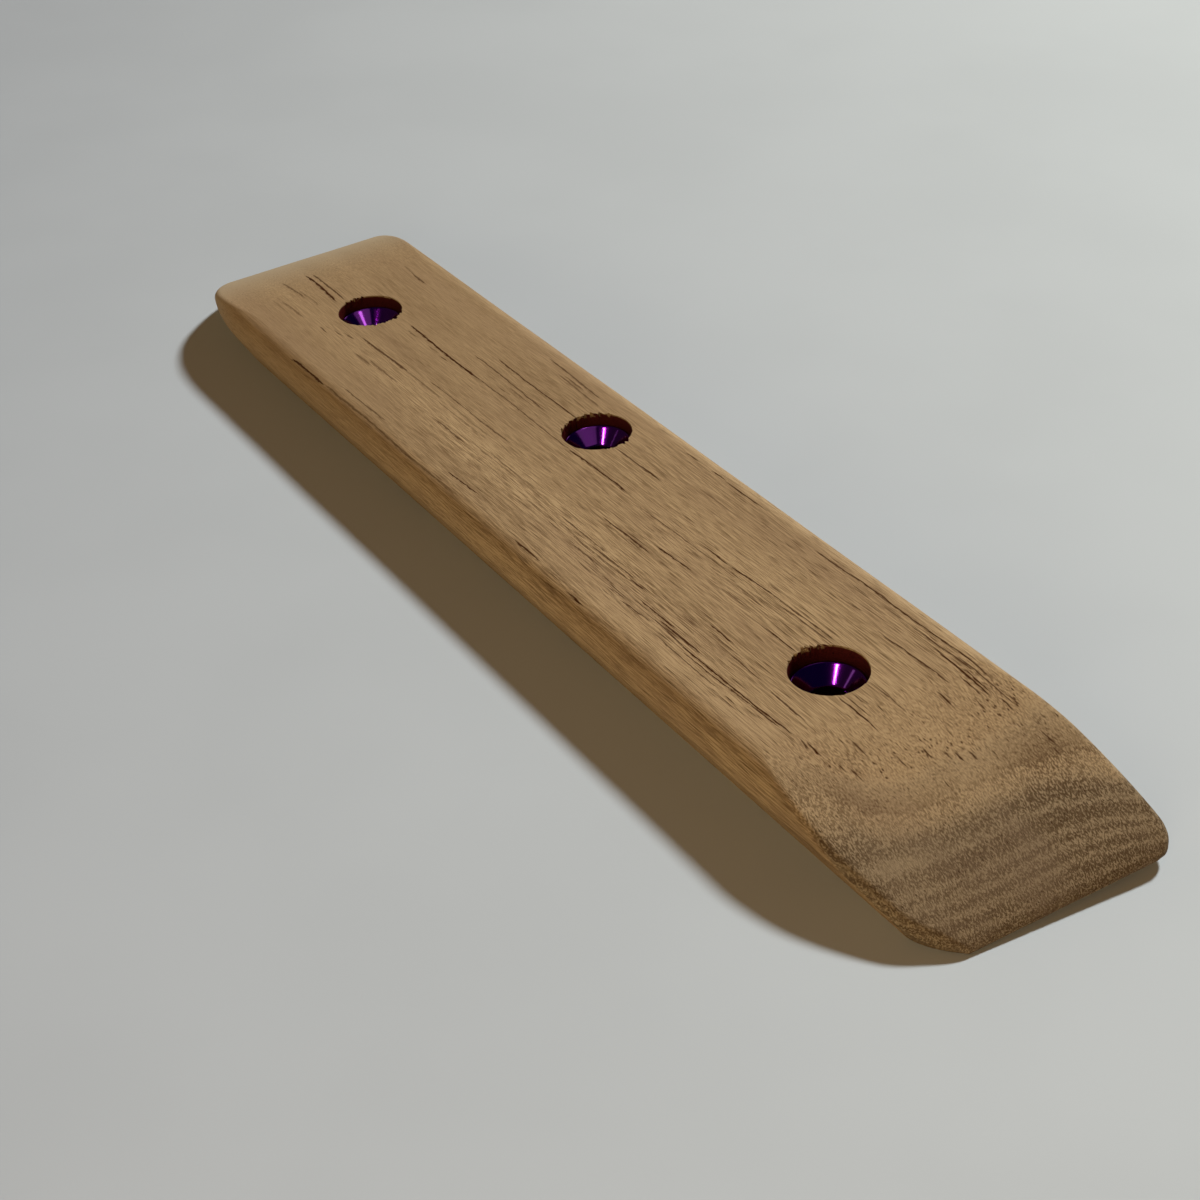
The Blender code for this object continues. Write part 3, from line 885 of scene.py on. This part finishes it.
# Broad light (over 0) and dark (under 0) stretches of the figure
TONES = (
    Patch(-180, 0, 30, 40.0, -0.05), Patch(-125, 18, 40, 8.0, -0.22), Patch(-95, -28, 40, 6.0, -0.22),
    Patch(-90, -5, 45, 3.5, -0.40), Patch(-45, 14, 25, 16.0, -0.32), Patch(-10, -17, 75, 5.0, 0.40),
    Patch(0, -28, 50, 4.5, -0.40), Patch(60, 36, 150, 3.0, 0.40), Patch(70, 27, 45, 3.5, -0.30),
    Patch(75, 0, 25, 6.0, 0.22), Patch(95, -18, 30, 3.0, -0.25), Patch(110, -31, 60, 4.0, 0.75),
    Patch(120, 12, 45, 12.0, 0.30), Patch(150, 2, 14, 22.0, 0.20), Patch(166, 3, 6, 10.0, 0.60),
    Patch(170, -13, 9, 7.0, 0.35), Patch(172, -29, 9, 6.0, -0.55), Patch(172, -40, 14, 2.5, -0.50),
    Patch(178, 5, 7, 12.0, 0.55), Patch(186, 25, 11, 9.0, -0.85), Patch(192, -12, 2.0, 16.0, 0.40),
    Patch(194, -27, 9, 8.0, 0.75), Patch(206, 2, 2.5, 12.0, -0.25),
)

# Stretches where more of the pores are open
POROUS = (
    Patch(0, -19, 75, 5.0, 0.8), Patch(90, 4, 40, 6.0, 0.45), Patch(135, 29, 35, 4.0, 0.8),
    Patch(85, -24, 35, 4.0, 0.6), Patch(168, 0, 7, 18.0, 0.6), Patch(-100, -15, 40, 5.0, 0.4),
    Patch(160, -20, 10, 8.0, 0.5),
)


@dataclass
class RailBody:
    """The timber rail, a loft of sections that thin towards both ends, with three ragged bolt holes."""

    length: float = 0.4373
    width: float = 0.0812
    thickness: float = 0.020
    incut_angle: float = math.radians(30)
    lip_radius: float = 0.007
    heel_radius: float = 0.008
    edge_ease: float = 0.0025
    ease_share: float = 0.5
    bevel_left_length: float = 0.072
    bevel_left_start_power: float = 1.33
    bevel_left_finish_power: float = 1.47
    bevel_right_length: float = 0.066
    bevel_right_start_power: float = 2.2
    bevel_right_finish_power: float = 1.38
    toe_height: float = 0.001
    left_end_skew: float = math.radians(1.9)
    grip_corner_left_length: float = 0.0136
    grip_corner_left_depth: float = 0.0084
    grip_corner_left_power: float = 1.8
    grip_corner_right_length: float = 0.062
    grip_corner_right_depth: float = 0.030
    heel_corner: float = 0.008
    counterbore_radius: float = 0.011
    seat_gap: float = 0.0003
    bore_radius: float = 0.006
    overcut: float = 0.005
    eased_mouth: float = 0.0003
    raggedness: float = 0.0016
    unevenness: float = 0.00035
    fraying: float = 0.001

    # Sections along the rail, and how far they are spread evenly rather than gathered at the ends
    stations: int = 250
    even_spread: float = 0.35

    # Rows of faces up the undercut, round the lip and its eased cut, over the front and down the heel's side
    rows: tuple[int, ...] = (10, 20, 6, 190, 6, 16, 6, 8)

    def build(self, timber: bpy.types.Material) -> bpy.types.Object:
        """Build, paint and place the rail.

        Args:
            timber: Its material.

        Returns:
            The finished piece.
        """
        maker = GeometryTree("rail_loft")
        solid = self._loft(maker)
        cut = maker.node("GeometryNodeMeshBoolean", {"Mesh 1": solid}, operation="DIFFERENCE", solver="EXACT")
        for number, hole in enumerate(Hole):
            maker.tree.links.new(self._ragged_hole(maker, hole, float(number)), cut.inputs["Mesh 2"])

        # The cutting leaves a few tiny edges, where two faces could lie back to back
        joined = maker.merged(cut.outputs["Mesh"])
        sides = Formula(maker.tree, maker.node("GeometryNodeInputMeshFaceNeighbors").outputs["Vertex Count"])
        fine = maker.node("GeometryNodeTriangulate", {"Mesh": joined, "Selection": sides.over(4.5)})
        maker.end(fine.outputs["Mesh"])
        sizes = {name.replace("_", " ").capitalize(): value for name, value in vars(self).items()
                 if isinstance(value, float)}
        for hole in Hole:
            sizes[f"Counterbore radius {hole.name}"] = self.counterbore_radius
            sizes[f"Raggedness {hole.name}"] = self.raggedness
        rail = maker.make("rail_timber", timber, sizes)
        self._smooth(rail.data)
        self._paint(rail.data)
        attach(rail, "root")
        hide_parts("rail_body")
        return rail

    @staticmethod
    def _bevel(maker: GeometryTree, end: str, from_end: Formula, thickness: Formula, toe: Formula) -> Formula:
        """Return the front face's height over the back at a distance from a bevelled end.

        Args:
            maker: The tree that it is built in.
            end: Which end it is, left or right.
            from_end: Distance from that end.
            thickness: The rail's full thickness.
            toe: Height that is left at the end.

        Returns:
            The height.
        """
        length = maker.size(f"Bevel {end} length")
        start, finish = maker.size(f"Bevel {end} start power"), maker.size(f"Bevel {end} finish power")
        reach = 1.0 - from_end.share(0.0, length)
        return toe + (thickness - toe) * (1.0 - reach ** start) ** (1.0 / finish)

    @staticmethod
    def _corner(from_end: Formula, length: Number, depth: Number) -> Formula:
        """Return how far an elliptic plan corner lies inside the long edge."""
        rest = 1.0 - from_end.share(0.0, length)
        return (1.0 - (1.0 - rest * rest).most(0.0).root()) * depth

    @staticmethod
    def _long_edge(height: Formula, thickness: Formula, lean: Number, radius: Formula, ease: Formula,
                   shares: Sequence[Number]) -> tuple[Formula, Formula]:
        """Return a point of a long edge, which turns over to the full thickness or is cut by a bevel.

        Args:
            height: Height of the front there.
            thickness: The rail's full thickness.
            lean: How far the edge leans outwards, in radians.
            radius: Radius that turns it over.
            ease: Radius that eases a bevel's cut through it.
            shares: How far the point is up the straight side, round the radius and over the eased cut.

        Returns:
            Its reach outwards from the back's arris, and its height.
        """
        up, turned, eased = shares
        upright = height * 0.0 + lean
        whole = upright + math.pi / 2
        centre = thickness - radius
        cut = ((height - ease - centre) / (radius - ease)).most(whole.cos()).least(1.0).arc_cosine()
        side = (centre + radius * whole.cos()).least(height - ease + ease * whole.cos())
        angle = whole + (cut - whole) * turned
        last = cut * (1.0 - eased)
        reach = (side * upright.tan() * up + radius * (angle.sin() - whole.sin())
                 + ease * (last.sin() - cut.sin()))
        level = side * up + radius * (angle.cos() - whole.cos()) + ease * (last.cos() - cut.cos())
        return reach, level

    def _loft(self, maker: GeometryTree) -> bpy.types.NodeSocket:
        """Return the rail's closed solid, before its holes are cut.

        Args:
            maker: The tree that it is built in.

        Returns:
            The solid's geometry.
        """
        length, width = maker.size("Length"), maker.size("Width")
        thick, toe = maker.size("Thickness"), maker.size("Toe height")
        angle, heel_corner = maker.size("Incut angle"), maker.size("Heel corner")
        lip_size, heel_size = maker.size("Lip radius"), maker.size("Heel radius")

        # The first and the last column of points close the ends, each drawn together to one point
        grid = maker.grid(self.stations + 2, sum(self.rows))
        across, around, _ = maker.place()
        turn = across * 2.0
        last = 1.0 - 2.0 / (self.stations + 2)
        pole = turn.size().over(0.5 + 0.5 * last)
        spread = (turn / last).least(1.0).most(-1.0)
        gathered = (spread * (math.pi / 2)).sin()
        x = length / 2.0 * (spread * self.even_spread + gathered * (1.0 - self.even_spread))

        from_left, from_right = length / 2.0 - x, length / 2.0 + x
        height = self._bevel(maker, "left", from_left, thick, toe).least(
            self._bevel(maker, "right", from_right, thick, toe))
        aslant = (1.0 - from_left.share(0.0, maker.size("Grip corner left length"))) ** maker.size(
            "Grip corner left power")
        inset = aslant * maker.size("Grip corner left depth") + self._corner(
            from_right, maker.size("Grip corner right length"), maker.size("Grip corner right depth"))
        heel_inset = (self._corner(from_left, heel_corner, heel_corner)
                      + self._corner(from_right, heel_corner, heel_corner))
        ease = maker.size("Edge ease").least(height * maker.size("Ease share"))
        overhang = (thick - lip_size) * angle.tan() - lip_size * (1.0 / angle.cos() - 1.0)
        grip_back = overhang - width / 2.0 + inset
        heel = width / 2.0 - heel_inset

        ends = [float(sum(self.rows[:count])) for count in range(len(self.rows) + 1)]
        row = (around + 0.5) * ends[-1]
        shares = [row.share(start, end) for start, end in zip(ends, ends[1:])]
        up, lip, lip_eased, front, heel_eased, heel_arc, side, back = shares
        reach, grip_level = self._long_edge(height, thick, angle, lip_size, ease, (up, lip, lip_eased))
        down = (1.0 - side, 1.0 - heel_arc, 1.0 - heel_eased)
        heel_reach, heel_level = self._long_edge(height, thick, 0.0, heel_size, ease, down)
        grip_y = grip_back - reach
        y = grip_y + front * (heel + heel_reach - grip_y) + back * (grip_back - heel)
        z = grip_level + heel_level - height

        y = y * (1.0 - pole) + (grip_back + heel) / 2.0 * pole
        z = z * (1.0 - pole) + height / 2.0 * pole
        aslant_end = (width / 2.0 - heel_corner - y) * maker.size("Left end skew").tan()
        x = x - aslant_end * x.share(0.0, length / 8.0)
        closed = maker.merged(maker.moved(grid, x, y, z))
        return self._hand_sanded(maker, closed)

    def _hand_sanded(self, maker: GeometryTree, geometry: bpy.types.NodeSocket) -> bpy.types.NodeSocket:
        """Return the solid with slightly uneven sanded faces and rough sawn ends.

        Args:
            maker: The tree that it is built in.
            geometry: The even solid.

        Returns:
            The uneven one.
        """
        place = maker.node("GeometryNodeInputPosition").outputs[0]
        x, y, z = parts_of(maker.tree, place)
        normal = maker.node("GeometryNodeInputNormal").outputs[0]
        swell = ((noise(maker.tree, place, (18.0, 45.0, 45.0), 1.0) - 0.5) * self.unevenness
                 * z.share(2.0 * MM, 10.0 * MM))
        offset = maker.node("ShaderNodeVectorMath", {0: normal, "Scale": swell}, operation="SCALE").outputs[0]
        sanded = maker.node("GeometryNodeSetPosition", {"Geometry": geometry, "Offset": offset}).outputs[0]
        low = 1.0 - z.share(0.2 * MM, 2.2 * MM)
        at_end = x.size().share(self.length / 2 - 3.0 * MM, self.length / 2)
        rough = noise(maker.tree, place, (300.0, 1300.0, 600.0), 3.0, 0.7) - 0.5
        fray = rough * low * at_end * self.fraying
        outward = vector_of(maker.tree, fray * x.work("SIGN", x), 0.0, 0.0)
        return maker.node("GeometryNodeSetPosition", {"Geometry": sanded, "Offset": outward}).outputs[0]

    def _ragged_hole(self, maker: GeometryTree, hole: Hole, seed: float) -> bpy.types.NodeSocket:
        """Return the cutter of one stepped bolt hole, its mouth torn a little by the drill.

        Args:
            maker: The tree that it is built in.
            hole: Which hole it is.
            seed: Picks the pattern of the tearing.

        Returns:
            The cutter's geometry.
        """
        bore, rough = maker.size(f"Counterbore radius {hole.name}"), maker.size(f"Raggedness {hole.name}")
        face, floor = self.thickness, hole.washer_bottom - self.seat_gap
        top, bottom = face + self.overcut, -self.overcut
        mouth = bore + self.eased_mouth
        profile = [
            Turn(0.0, top), Turn(mouth, top), Turn(mouth, face + 0.3 * MM),
            Turn(bore + self.eased_mouth * 0.3, face - 0.2 * MM), Turn(bore, face - 0.6 * MM),
            Turn(bore, face - 4.5 * MM, 8), Turn(bore, floor, 5), Turn(self.bore_radius, floor),
            Turn(self.bore_radius, bottom, 3), Turn(0.0, bottom),
        ]
        grid = maker.grid(160, sum(point.rows for point in profile[1:]))
        angle, radius, height = turned_fields(maker, profile)
        x, y = angle.cos() * radius, angle.sin() * radius

        # The drill tears out fibres where it crosses their ends, along the rail
        chips = noise(maker.tree, vector_of(maker.tree, seed, y, height), (1.0, 900.0, 120.0), 3.0, 0.65)
        torn_side = noise(maker.tree, vector_of(maker.tree, seed * 3.7, y, x), (1.0, 150.0, 40.0), 1.0)
        near_face = height.share(face - 2.8 * MM, face - 0.4 * MM)
        chip = chips.fade(0.44, 0.62) * torn_side.fade(0.35, 0.60) * near_face * rough
        along = x + x.work("SIGN", x) * chip * radius.over(0.009) * angle.cos().size()
        return maker.merged(maker.moved(grid, along + hole.x, y + hole.y, height))

    @staticmethod
    def _smooth(mesh: bpy.types.Mesh) -> None:
        """Shade a mesh smooth, but for its sharp edges."""
        mesh.shade_smooth()
        mesh.set_sharp_from_angle(angle=math.radians(32))

    @staticmethod
    def _paint(mesh: bpy.types.Mesh) -> None:
        """Paint the grain's tones, open stretches and dark lines on the front face."""
        places = np.empty(len(mesh.vertices) * 3, dtype=np.float32)
        mesh.vertices.foreach_get("co", places)
        x, y, z = places.reshape(-1, 3).T.astype(float) / MM
        for name, patches in (("tone", TONES), ("pores", POROUS)):
            values = np.sum([patch.strength(x, y) for patch in patches], axis=0)
            mesh.attributes.new(name, "FLOAT", "POINT").data.foreach_set("value", values.astype(np.float32))

        layers: dict[str, list[Mark]] = {name: [] for name in MARK_LAYERS}
        for mark in MARKS:
            free = [name for name in MARK_LAYERS if all(mark.clear_of(other) for other in layers[name])]
            layers[free[0] if free else MARK_LAYERS[-1]].append(mark)
        front = np.clip((z - 4.0) / 6.0, 0.0, 1.0)
        for name, marks in layers.items():
            log.info("%s: %d lines", name, len(marks))
            values = np.zeros((len(x), 3))
            for mark in marks:
                drawn = mark.painted(x, y)
                stronger = drawn[:, 2] > values[:, 2]
                values[stronger] = drawn[stronger]
            values[:, 2] *= front
            layer = mesh.attributes.new(name, "FLOAT_VECTOR", "POINT")
            layer.data.foreach_set("vector", values.astype(np.float32).ravel())


@dataclass
class ConicalWasher:
    """A turned washer with a cone down to its bolt bore."""

    hole: Hole
    radius: float = 0.0106
    height: float = 0.006
    lip: float = 0.0005
    edge: float = 0.0003
    cone_angle: float = math.radians(45)
    bore_radius: float = 0.0055

    def build(self, metal: bpy.types.Material) -> bpy.types.Object:
        """Build and place the washer.

        Args:
            metal: Its material.

        Returns:
            The finished piece.
        """
        maker = GeometryTree(f"turned_washer_{self.hole.name.lower()}")
        centre_x, centre_y, bottom = (maker.size(name) for name in ("Centre x", "Centre y", "Bottom"))
        radius, height, lip, edge = (maker.size(name) for name in ("Radius", "Height", "Lip", "Edge"))
        cone, bore = maker.size("Cone angle"), maker.size("Bore radius")
        mouth = radius - lip
        depth = (mouth - bore) / cone.tan()
        quarter = edge * (1.0 - math.sqrt(0.5))
        profile = [
            Turn(mouth + edge / 2.0, height), Turn(radius - edge, height),
            Turn(radius - quarter, height - quarter), Turn(radius, height - edge),
            Turn(radius, edge, 2), Turn(radius - edge, 0.0),
            Turn(bore + edge, 0.0, 2), Turn(bore, edge), Turn(bore, height - depth - edge / 2.0, 2),
            Turn(bore + edge / 4.0, height - depth), Turn(mouth - edge / 2.0, height - edge / 2.0, 12),
            Turn(mouth, height - edge / 6.0), Turn(mouth + edge / 2.0, height),
        ]
        grid = maker.grid(128, sum(point.rows for point in profile[1:]))
        angle, reach, level = turned_fields(maker, profile)
        x, y = angle.cos() * reach, angle.sin() * reach
        spot = vector_of(maker.tree, x, y, level)
        stored = maker.node("GeometryNodeStoreNamedAttribute", {"Geometry": grid, "Name": "turned_place"},
                            data_type="FLOAT_VECTOR", domain="POINT")
        maker.tree.links.new(spot, stored.inputs["Value"])
        shaped = maker.moved(stored.outputs[0], x + centre_x, y + centre_y, level + bottom)
        maker.end(maker.merged(shaped))
        sizes = {"Centre x": self.hole.x, "Centre y": self.hole.y, "Radius": self.radius,
                 "Height": self.height, "Bottom": self.hole.washer_bottom, "Lip": self.lip, "Edge": self.edge,
                 "Cone angle": self.cone_angle, "Bore radius": self.bore_radius}
        place = self.hole.name.lower()
        washer = maker.make(f"conical_washer_{place}", metal, sizes)
        washer.data.shade_smooth()
        washer.data.set_sharp_from_angle(angle=math.radians(40))
        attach(washer, "root")
        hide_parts(f"washer_{place}")
        return washer


# Share of a gleam's beam that fades at its rim
GLEAM_BLEND = 0.3


@dataclass(frozen=True)
class Gleam:
    """A round lamp that only gleams in the washers, in metres, watts and degrees."""

    name: str
    way: Colour
    distance: float
    diameter: float
    power: float
    aimed_at: float
    beam: float

    def hang(self) -> None:
        """Hang the lamp, turned to a point on the middle of the rail."""
        light = bpy.data.lights.new(self.name, "SPOT")
        light.shadow_soft_size = self.diameter / 2
        light.energy = self.power
        light.spot_size = math.radians(self.beam)
        light.spot_blend = GLEAM_BLEND
        lamp = bpy.data.objects.new(self.name, light)
        way = Vector(self.way).normalized()
        lamp.location = way * self.distance + Vector((self.aimed_at, 0.0, 0.0))
        lamp.rotation_euler = way.to_track_quat("Z", "Y").to_euler()
        lamp.visible_diffuse = False
        lamp.visible_camera = False
        bpy.context.scene.collection.objects.link(lamp)


# The way to each gleam, its distance, diameter and power, the place along the rail it is aimed at, and its beam
GLEAMS = (
    Gleam("front_gleam", (0.22, -0.56, 0.80), 2.2, 0.46, 65.0, 0.12, 7.5),
    Gleam("side_gleam", (-0.45, -0.67, 0.59), 2.2, 0.24, 0.35, 0.12, 7.5),
    Gleam("ceiling_gleam", (0.467, 0.31, 0.83), 0.40, 0.07, 0.12, -0.135, 60.0),
    Gleam("ceiling_glow", (0.52, 0.24, 0.82), 0.36, 0.34, 0.26, -0.135, 60.0),
    Gleam("window_gleam", (-0.28, 0.775, 0.56), 5.0, 1.2, 8.0, 0.0, 30.0),
)


@dataclass
class Studio:
    """The pale board, the lamps and the camera."""

    board_size: float = 9.0
    board_tilt: float = -0.047
    grip_arris: float = -0.0342
    lamp_way: Colour = (-0.28, 0.775, 0.56)
    lamp_distance: float = 5.0
    lamp_size: float = 0.60
    lamp_power: float = 390.0
    lamp_colour: Colour = (0.86, 0.94, 1.0)
    low_lamp_way: Colour = (0.69, -0.69, 0.30)
    low_lamp_distance: float = 1.06
    low_lamp_size: float = 0.5
    low_lamp_power: float = 2.5
    low_lamp_colour: Colour = (1.0, 0.80, 0.54)
    ambient: Colour = (0.141, 0.072, 0.026)
    low_glow: Colour = (1.15, 1.06, 0.66)
    horizon: Colour = (0.50, 0.50, 0.49)
    dark_room: Colour = (0.006, 0.002, 0.024)
    lit_room: Colour = (0.03, 0.02, 0.03)
    camera_place: tuple[float, float, float] = (0.50233, -0.28457, 0.36978)
    camera_turn: tuple[float, float, float] = (55.2672, 3.4239, 57.5896)
    lens: float = 66.0
    sensor: float = 36.0

    def build(self, board: bpy.types.Material) -> None:
        """Set up everything around the rail."""
        self._board(board)
        key = self._lamp("key_lamp", self.lamp_way, self.lamp_distance, self.lamp_size, self.lamp_power)
        key.data.color = self.lamp_colour
        key.visible_glossy = False
        low = self._lamp("low_lamp", self.low_lamp_way, self.low_lamp_distance, self.low_lamp_size,
                         self.low_lamp_power)
        low.data.color = self.low_lamp_colour
        low.visible_glossy = False
        for gleam in GLEAMS:
            gleam.hang()
        self._world()
        self._camera()

    def _board(self, finish: bpy.types.Material) -> None:
        """Lay the board under the rail, which leans on its grip-side arris."""
        half = self.board_size / 2
        mesh = bpy.data.meshes.new("board")
        bm = bmesh.new()
        for x, y in ((-half, -half), (half, -half), (half, half), (-half, half)):
            bm.verts.new((x, y, (y - self.grip_arris) * self.board_tilt - 0.02 * MM))
        bm.faces.new(bm.verts)
        bm.to_mesh(mesh)
        bm.free()
        mesh.materials.append(finish)
        board = bpy.data.objects.new("board", mesh)
        bpy.context.scene.collection.objects.link(board)

    def _lamp(self, name: str, way: Colour, distance: float, size: float, power: float) -> bpy.types.Object:
        """Hang a round lamp.

        Args:
            name: Name of the lamp.
            way: Direction from the rail to it.
            distance: Distance from the rail.
            size: Its diameter.
            power: Its power in watts.

        Returns:
            The lamp.
        """
        light = bpy.data.lights.new(name, "AREA")
        light.shape = "DISK"
        light.size = size
        light.energy = power
        lamp = bpy.data.objects.new(name, light)
        lamp.location = Vector(way).normalized() * distance
        lamp.rotation_euler = Vector(way).to_track_quat("Z", "Y").to_euler()
        bpy.context.scene.collection.objects.link(lamp)
        return lamp

    def _world(self) -> None:
        """Light the room dimly, more so low on the grip side, with a pale horizon for the camera and in gloss."""
        world = bpy.data.worlds.new("room")
        world.use_nodes = True
        bpy.context.scene.world = world
        tree = world.node_tree
        way = tree.nodes.new("ShaderNodeTexCoord").outputs["Generated"]
        along, across, up = parts_of(tree, way)
        room = mixed(tree, (along * -0.78 - across * 0.62).fade(-0.2, 0.8), self.dark_room, self.lit_room)
        sky = mixed(tree, up.fade(0.06, 0.20), self.horizon, room)
        glow = (-across).fade(0.0, 0.6) * (1.0 - up.fade(0.24, 0.44))
        ambient = mixed(tree, glow, self.ambient, tuple(map(sum, zip(self.ambient, self.low_glow))))
        rays = tree.nodes.new("ShaderNodeLightPath")
        seen = Formula(tree, rays.outputs["Is Camera Ray"])
        for name in ("Is Glossy Ray", "Is Transmission Ray"):
            seen = seen.most(Formula(tree, rays.outputs[name]))
        feed(tree, mixed(tree, seen, ambient, sky), tree.nodes["Background"].inputs["Color"])

    def _camera(self) -> None:
        """Put the camera where the photograph was taken."""
        data = bpy.data.cameras.new("camera")
        data.lens = self.lens
        data.sensor_width = self.sensor
        camera = bpy.data.objects.new("camera", data)
        camera.location = self.camera_place
        camera.rotation_euler = Euler([math.radians(angle) for angle in self.camera_turn])
        bpy.context.scene.collection.objects.link(camera)
        bpy.context.scene.camera = camera


def main() -> None:
    """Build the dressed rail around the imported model."""
    logging.basicConfig(level=logging.INFO, format="%(message)s")
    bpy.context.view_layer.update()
    bpy.context.scene.view_settings.view_transform = "Standard"

    timber = TimberFinish().build(GrainTools())
    metal = AnodisedFinish().build()
    pieces = [RailBody().build(timber)]
    pieces += [ConicalWasher(hole).build(metal) for hole in Hole]
    Studio().build(FloorFinish().build())
    for piece in pieces:
        log.info("%s: %d faces", piece.name, len(piece.data.polygons))


if __name__ == "__main__":
    main()
